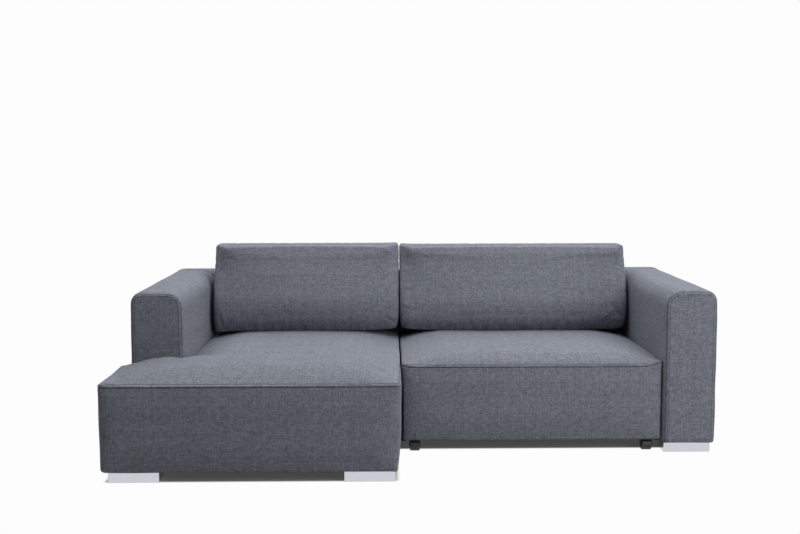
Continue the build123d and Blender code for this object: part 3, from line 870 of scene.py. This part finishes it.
places = readCoords(seatPiece)
shoulder = (places[:, 2] > seam + seat["shoulderFoot"]) & (places[:, 1] > seatLow.y + seat["firmFront"])
relax(seatPiece, seat["shoulder"], where=shoulder)
frameLow, frameHigh = unite(seatNodes)
refit(seatPiece, frameLow, frameHigh + Vector((seat["fullSide"], 0, 0)), seam)
places, normals = readSkin(seatPiece)
held = heldFaces(normals, seat["held"], np.abs(normals[:, 0]))
inflate(seatPiece, seat["stuffing"], held | onSeam(places, normals, seam))
settle(seatPiece, seam, seat["top"])
refine(seatPiece)
places, normals = readSkin(seatPiece)
x, y, z = places.T
loose = swell(x, y + z, seat["waves"]) * (normals[:, 2] > seat["looseAbove"])
push(seatPiece, places, normals, seat["loose"] * loose)
sew(seatPiece, (0, 0, seam), (0, 0, 1), sidesBefore(coverHigh.y + seat["seamEnd"]), seat["sewn"])
places = readCoords(seatPiece)
x, y, z = places.T
markSeam(seatPiece, z - seam + np.maximum(0, y - coverHigh.y - seat["markEnd"]))
# the seam climbs towards both front corners, most of all to the right one
reach, curve = seat["climbRight"]
climb = np.clip((x - (seatHigh.x - reach)) / reach, 0, 1) ** curve
reach, curve = seat["climbLeft"]
climb += seat["climbLeftShare"] * np.clip((seatLow.x + reach - x) / reach, 0, 1) ** curve
climb *= near(z, seam, seat["climbHeight"]) * near(y, seatLow.y, seat["climbDepth"])
z += seat["seamClimb"] * climb
writeCoords(seatPiece, places)
finishSoft(seatPiece, "pull_out_seat", seatNodes)

# Arms: padded box, softly rounded over the top; the cloth draws the double seam round the front panel
arms = {
    "voxel": 0.011,
    "relaxed": 5,
    "pressed": 0.006,  # pushed up against the back, so that the joint closes
    "rearGap": -0.002,
    "lowerEdge": 0.03,
    "innerRadius": 0.070,
    "outerRadius": 0.048,
    "crown": 0.003,
    "crownLeast": 0.35,
    "belly": 0.001,
    "bellyCurve": 1.3,
    "bellyFoot": 0.04,
    "frontBelly": 0.003,
    "loose": 0.0016,
    "waves": ((0.39, 0.6, 0.4), (0.26, 2.2, 1.7), (0.18, 1.2, 2.9)),
    "seamInside": 0.008,
    "seamDepth": 0.012,  # behind the front, where the mark runs out
    "seamFade": 2,
    "fill": 0.9,
}
for side, outer in (("left", -1), ("right", 1)):
    cover = f"{side}_arm_cover"
    armLow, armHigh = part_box(cover)
    filler = fillRound(f"{side}_arm_frame", arms["rearGap"])
    arm = softCopy(f"{side}_arm_upholstery", (cover,), arms["voxel"], [filler])
    relax(arm, arms["relaxed"])
    refit(arm, armLow, armHigh + Vector((0, arms["pressed"], 0)))
    for again in range(2):  # twice, as for the chaise block
        drawOut(arm, 1, armHigh.y + arms["pressed"], armLow.z, arms["lowerEdge"])
    refine(arm)
    places, normals = readSkin(arm)
    x, y, z = places.T
    up = np.clip((z - arms["bellyFoot"]) / (armHigh.z - arms["bellyFoot"]), 0, 1)
    bulge = np.sin(up ** arms["bellyCurve"] * math.pi) * arms["belly"]
    outward = np.clip(normals[:, 0] * outer, 0, 1) * bulge
    forward = np.clip(-normals[:, 1], 0, 1) * np.sin(up * math.pi) * arms["frontBelly"]
    middle = (armLow.x + armHigh.x) / 2
    over = np.clip(1 - ((x - middle) / (armHigh.x - middle)) ** 2, 0, 1)
    crowned = arms["crownLeast"] + (1 - arms["crownLeast"]) * over
    crest = np.clip(normals[:, 2], 0, 1) * arms["crown"] * crowned
    loose = arms["loose"] * swell(y, z + x, arms["waves"])
    push(arm, places, normals, outward + forward + crest + loose)
    # how far each point lies inside the arm's rounded outline, seen from the front
    x, y, z = readCoords(arm).T
    fromLeft, fromRight, fromTop = x - armLow.x, armHigh.x - x, armHigh.z + arms["crown"] - z
    inside = np.minimum(np.minimum(fromLeft, fromRight), fromTop)
    radii = (arms["outerRadius"], arms["innerRadius"])
    for gap, radius in zip((fromLeft, fromRight), radii if outer < 0 else radii[::-1]):
        corner = (gap < radius) & (fromTop < radius)
        inside = np.where(corner, radius - np.hypot(radius - gap, radius - fromTop), inside)
    behind = np.maximum(0, y - y.min() - arms["seamDepth"])
    markSeam(arm, inside - arms["seamInside"] - arms["seamFade"] * behind)
    finishSoft(arm, "sofa_frame", (cover,), True)

# Backs: plain padded panels behind the cushions
backs = {"voxel": 0.013, "relaxed": 3, "rearGap": 0.004, "rise": 0.004, "fill": 0.9}
for module in ("chaise", "seat"):
    cover = f"{module}_back_cover"
    filler = fillRound(f"{module}_back_frame", backs["rearGap"])
    rear = softCopy(f"{module}_back_upholstery", (cover,), backs["voxel"], [filler])
    relax(rear, backs["relaxed"])
    backLow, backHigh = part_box(cover)
    refit(rear, backLow, backHigh + Vector((0, 0, backs["rise"])))
    refine(rear)
    finishSoft(rear, "sofa_frame", (cover,))

# Loose back cushions: boxed, crowned at the front, a seam round the front panel, pointed upper corners
cushions = {
    "voxel": 0.010,
    "relaxed": 4,
    "meet": 0.0038,  # the pair almost touch
    "outerIn": {"left": 0.0, "right": 0.003},
    "lower": {"left": 0.0, "right": 0.005},
    "ends": {"levels": 41, "footGap": 0.05, "footReach": 0.08, "topShare": 0.55, "topReach": 0.04},
    "cornerLift": {"left": (-0.014, 0.012), "right": (0.012, 0.010)},  # one sinks in beside the arm
    "cornerReach": (0.05, 0.07),
    "cornerIn": 0.3,
    "seamFromRear": 0.118,  # the plane of the seam, at its top
    "seamHeight": 0.826,
    "seamLean": -0.25,
    "held": {"rear": 0.5, "under": 0.75, "side": 0.75, "rim": 0.012, "rimFoot": 0.05, "rimTurn": 0.9},
    "stuffing": {"pressure": 4.5, "tension": 12, "bending": 1.5, "slack": 0.004, "cap": 0.014},
    "settleAbove": 0.2,
    "front": {  # what the pair share
        "bellyAt": 0.475,
        "bellyReach": 0.035,
        "core": 0.15,  # the strip down the middle that gives the profile
        "coreTurn": 0.6,
        "coreFoot": 0.03,
        "arcDegree": 4,
        "gain": 2.5,
        "start": 0.25,
        "fade": 0.05,
        "soft": 0.012,
        "most": 0.016,
        "rim": 0.035,
        "edge": 0.07,
        "full": 0.7,
    },
    "ownFront": {  # foot: where the straight front begins, bend: how far above it the lean starts
        "left": {"belly": 0.006, "foot": 0.540, "bend": 0.035, "slope": 0.38},
        "right": {"belly": 0.010, "foot": 0.525, "bend": 0.033, "slope": 0.37},
    },
    "sag": 0.007,
    "sagReach": 0.06,
    "ear": 0.005,
    "earReach": 0.032,
    "outerEar": 0.3,
    "crease": {"ends": 0.04, "lip": 0.6, "lipAway": 2, "gain": 2, "start": 0.2},
    "creases": {  # start and end on the front, width, depth
        "left": (
            ((-0.155, 0.495), (-0.100, 0.462), 0.008, 0.0035),
            ((-0.946, 0.520), (-0.935, 0.440), 0.009, 0.0040),
            ((-0.300, 0.800), (-0.120, 0.826), 0.012, 0.0015),
        ),
        "right": (
            ((0.872, 0.445), (0.965, 0.526), 0.009, 0.0042),
            ((0.915, 0.462), (0.985, 0.520), 0.008, 0.0030),
            ((0.730, 0.480), (0.790, 0.518), 0.010, 0.0026),
            ((-0.072, 0.618), (-0.015, 0.615), 0.008, 0.0040),
            ((-0.072, 0.536), (-0.028, 0.532), 0.008, 0.0034),
        ),
    },
    "rimTurn": (0.93, 5),
    "rimFoot": (0.03, 20),
    "sewn": {"depth": 0.004, "pucker": 0.0016, "pitch": 0.03},
    "markGap": 0.0005,
    "fill": 0.7,
}


def firmFront(piece, front):
    # above its fullest point the front rises in a straight line, as a firm filling holds it, to a full edge
    places, normals = readSkin(piece)
    x, y, z = places.T
    first, last, top, foot = x.min(), x.max(), z.max(), front["foot"]
    core = (np.abs(x - (first + last) / 2) < front["core"]) & (normals[:, 1] < -front["coreTurn"])
    core &= (z > foot - front["coreFoot"]) & (z < top - front["rim"])
    facing = facingFront(normals, front["gain"], front["start"])
    inside = np.clip(np.minimum(x - first, last - x) / front["fade"], 0, 1)
    y -= front["belly"] * near(z, front["bellyAt"], front["bellyReach"]) * facing * inside
    arc = np.polyfit(z[core], y[core], front["arcDegree"])
    fullest = np.polyval(arc, foot)

    def line(height):
        lean = np.log1p(np.exp((height - foot - front["bend"]) / front["soft"]))
        return fullest + front["slope"] * front["soft"] * lean

    heights = np.clip(z, foot, top - front["rim"])
    shift = np.clip(line(heights) - np.polyval(arc, heights), -front["most"], front["most"])
    y += shift * facing * inside * (z > foot)
    reach = front["edge"]
    across = np.clip(1 - (y - line(z)) / reach, 0, 1)
    up = np.clip(1 - (top - z) / reach, 0, 1)
    share = front["full"] * inside * ((across > 0) & (up > 0))
    across, up = squareOff(across, up)
    height = top - reach * (1 - up)
    depth = line(height) + reach * (1 - across)
    y += (depth - y) * share
    z += (height - z) * share
    writeCoords(piece, places)


def crease(piece, start, end, width, depth):
    # a soft wrinkle along a line on the front, with a raised lip above it
    shape = cushions["crease"]
    places, normals = readSkin(piece)
    start, end = np.array(start), np.array(end)
    along = end - start
    flat = places[:, [0, 2]] - start
    share = np.clip(flat @ along / (along @ along), 0, 1)
    offset = flat - share[:, None] * along
    away = np.linalg.norm(offset, axis=1)
    taper = np.sin(np.clip(share, shape["ends"], 1 - shape["ends"]) * math.pi)
    lip = shape["lip"] * near(away, shape["lipAway"] * width, width) * (offset[:, 1] > 0)
    facing = facingFront(normals, shape["gain"], shape["start"])
    move = -depth * (near(away, 0, width) - lip) * taper * facing
    push(piece, places, normals, move)


for side, inner in (("left", 1), ("right", -1)):
    node = f"back_cushion_{side}"
    low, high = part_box(node)
    meet, outerIn = cushions["meet"], cushions["outerIn"][side]
    low.x += outerIn if inner > 0 else -meet
    high.x += meet if inner > 0 else -outerIn
    high.z -= cushions["lower"][side]
    cushion = softCopy(f"{side}_back_cushion", (node,), cushions["voxel"])
    relax(cushion, cushions["relaxed"])
    refit(cushion, low, high)
    straighten(cushion, low, high, cushions["ends"])
    places = readCoords(cushion)
    x, y, z = places.T
    cornerWide, cornerHigh = cushions["cornerReach"]
    for end, sign, rise in zip((low.x, high.x), (1, -1), cushions["cornerLift"][side]):
        corner = np.exp(-np.abs(x - end) / cornerWide) * np.exp(-(z - low.z) / cornerHigh)
        z += rise * corner
        x += sign * cushions["cornerIn"] * rise * corner
    writeCoords(cushion, places)
    normals = readCoords(cushion, "normal")
    seamPoint = Vector((0, high.y - cushions["seamFromRear"], cushions["seamHeight"]))
    seamTurn = Vector((0, 1, cushions["seamLean"])).normalized()
    turn = cushions["held"]
    onRim = (np.abs(fromPlane(places, seamPoint, seamTurn)) < turn["rim"]) & (z > low.z + turn["rimFoot"])
    onRim &= np.abs(normals[:, 1]) < turn["rimTurn"]
    held = heldFaces(normals, turn, np.abs(normals[:, 0]))
    inflate(cushion, cushions["stuffing"], held | onRim)
    settle(cushion, low.z + cushions["settleAbove"], high.z)
    refine(cushion)
    firmFront(cushion, {**cushions["front"], **cushions["ownFront"][side]})
    places = readCoords(cushion)
    x, y, z = places.T
    z -= cushions["sag"] * np.exp(-np.maximum(z - low.z, 0) / cushions["sagReach"])
    for end in (low.x, high.x):
        corner = near(np.hypot(x - end, z - high.z), 0, cushions["earReach"])
        atInner = (end - (low.x + high.x) / 2) * inner > 0
        z += cushions["ear"] * (corner * (1.0 if atInner else cushions["outerEar"]))
    writeCoords(cushion, places)
    for line in cushions["creases"][side]:
        crease(cushion, *line)

    def panelRim(places, normals):
        # the rim of the front panel, above the foot of the cushion
        (turn, turnGain), (foot, footGain) = cushions["rimTurn"], cushions["rimFoot"]
        rim = np.clip((turn - np.abs(normals[:, 1])) * turnGain, 0, 1)
        return rim * np.clip((places[:, 2] - low.z - foot) * footGain, 0, 1)

    sew(cushion, seamPoint, seamTurn, panelRim, cushions["sewn"])
    fromSeam = fromPlane(readCoords(cushion), seamPoint, seamTurn)
    markSeam(cushion, np.abs(fromSeam) + cushions["markGap"])
    finishSoft(cushion, node, (node,))

# Floor and light: a white studio; the floor looks white but sends back less light
studio = {
    "white": 0.982,  # what the camera sees of floor and background
    "floor": "#a8a8a8",  # what the floor is to the light
    "floorSize": 30,
    "ambient": 0.02,
    "shadeReach": 0.026,  # the painted white glow, which hides the floor's shadow, is full this far outside the sofa's outline
    # share of the painted white glow left under the sofa
    "shadeWhite": 0.056,
    "chaiseOutline": ((-1.225, -0.688), (-0.115, 0.725)),
    "seatOutline": ((-0.115, -0.216), (1.225, 0.725)),
    "lights": (  # place, target, size, watts
        ("overhead_softbox", (0.6, 1.2, 4.2), (0.6, 1.2, 0.0), (9.0, 8.0), 402),
        ("front_softbox", (2.7, -2.9, 1.7), (0.3, 0.0, 0.4), (1.8, 1.8), 52),
    ),
}


def seenDirectly(tree):
    # 1 for what the camera sees, in mirrors and through glass too, and 0 for scattered light
    rays = addNode(tree, "ShaderNodeLightPath").outputs
    seen = compute(tree, "MAXIMUM", rays["Is Camera Ray"], rays["Is Glossy Ray"])
    return compute(tree, "MAXIMUM", seen, rays["Is Transmission Ray"])


deselectAll()
bpy.ops.mesh.primitive_plane_add(size=studio["floorSize"], location=(0, 0, 0))
floor = bpy.context.object
floor.name = "studio_floor"
# Matte paper floor: a painted white glow for the camera hides its shadow beyond the sofa's outline; under the
# sofa the glow fades and the rendered shadow shows
material, tree, shader = startMaterial("matte_paper_floor")
setInputs(tree, shader, {"Base Color": linear(studio["floor"]), "Roughness": 0.9, "Specular IOR Level": 0.1})
# how far a point of the floor lies outside the sofa's two blocks
outside = []
for lowCorner, highCorner in (studio["chaiseOutline"], studio["seatOutline"]):
    centre = [(a + b) / 2 for a, b in zip(lowCorner, highCorner)] + [0]
    half = [(b - a) / 2 for a, b in zip(lowCorner, highCorner)] + [0]
    folded = computeVector(tree, "ABSOLUTE", computeVector(tree, "SUBTRACT", objectPlace(tree), centre))
    beyond = computeVector(tree, "MAXIMUM", computeVector(tree, "SUBTRACT", folded, half), (0, 0, 0))
    distance = addNode(tree, "ShaderNodeVectorMath", {0: beyond}, operation="LENGTH")
    outside.append(distance.outputs["Value"])
# share of painted white glow: full outside the outline, where it covers the floor's real shadow
paintedWhiteShare = spread(
    tree,
    compute(tree, "MINIMUM", *outside),
    before=(0, studio["shadeReach"]),
    after=(studio["shadeWhite"], 1),
    interpolation_type="SMOOTHSTEP",
)
white = compute(tree, "MULTIPLY", seenDirectly(tree), paintedWhiteShare)
glow = addNode(tree, "ShaderNodeEmission", {"Color": (1, 1, 1, 1), "Strength": studio["white"]})
mix = addNode(tree, "ShaderNodeMixShader", {0: white, 1: shader.outputs["BSDF"], 2: glow.outputs["Emission"]})
tree.links.new(mix.outputs["Shader"], tree.nodes["Material Output"].inputs["Surface"])
floor.data.materials.append(material)

world = bpy.data.worlds.new("studio")
scene.world = world
world.use_nodes = True
tree = world.node_tree
backdrops = [
    addNode(tree, "ShaderNodeBackground", {"Color": (1, 1, 1, 1), "Strength": strength}).outputs["Background"]
    for strength in (studio["ambient"], studio["white"])
]
mix = addNode(tree, "ShaderNodeMixShader", {0: seenDirectly(tree), 1: backdrops[0], 2: backdrops[1]})
tree.links.new(mix.outputs["Shader"], tree.nodes["World Output"].inputs["Surface"])

for name, place, target, size, power in studio["lights"]:
    lamp = bpy.data.lights.new(name, "AREA")
    lamp.shape = "RECTANGLE"
    lamp.size, lamp.size_y = size
    lamp.energy = power
    holder = bpy.data.objects.new(name, lamp)
    holder.location = place
    holder.visible_camera = False
    holder.rotation_euler = (Vector(target) - Vector(place)).to_track_quat("-Z", "Y").to_euler()
    scene.collection.objects.link(holder)
print("floor and", len(studio["lights"]), "lights placed")

# Camera, fitted to the photo's straight edges; angles in radians, lens in millimetres
camera = {
    "place": (-0.1408, -4.876, 1.2488),
    "pitch": 0.09864,
    "yaw": 0.01171,
    "roll": 0.00215,
    "lens": 49.5,
}
ahead = Vector((math.sin(camera["yaw"]), math.cos(camera["yaw"]), 0))
across = Vector((math.cos(camera["yaw"]), -math.sin(camera["yaw"]), 0))
upright = Vector((0, 0, 1))
forward = math.cos(camera["pitch"]) * ahead - math.sin(camera["pitch"]) * upright
above = math.sin(camera["pitch"]) * ahead + math.cos(camera["pitch"]) * upright
imageRight = math.cos(camera["roll"]) * across - math.sin(camera["roll"]) * above
imageUp = math.sin(camera["roll"]) * across + math.cos(camera["roll"]) * above
cameraMatrix = Matrix((imageRight, imageUp, -forward)).transposed().to_4x4()
cameraMatrix.translation = Vector(camera["place"])
lensData = bpy.data.cameras.new("camera")
lensData.lens = camera["lens"]
cameraHolder = bpy.data.objects.new("camera", lensData)
cameraHolder.matrix_world = cameraMatrix
scene.collection.objects.link(cameraHolder)
scene.camera = cameraHolder
print("camera placed")
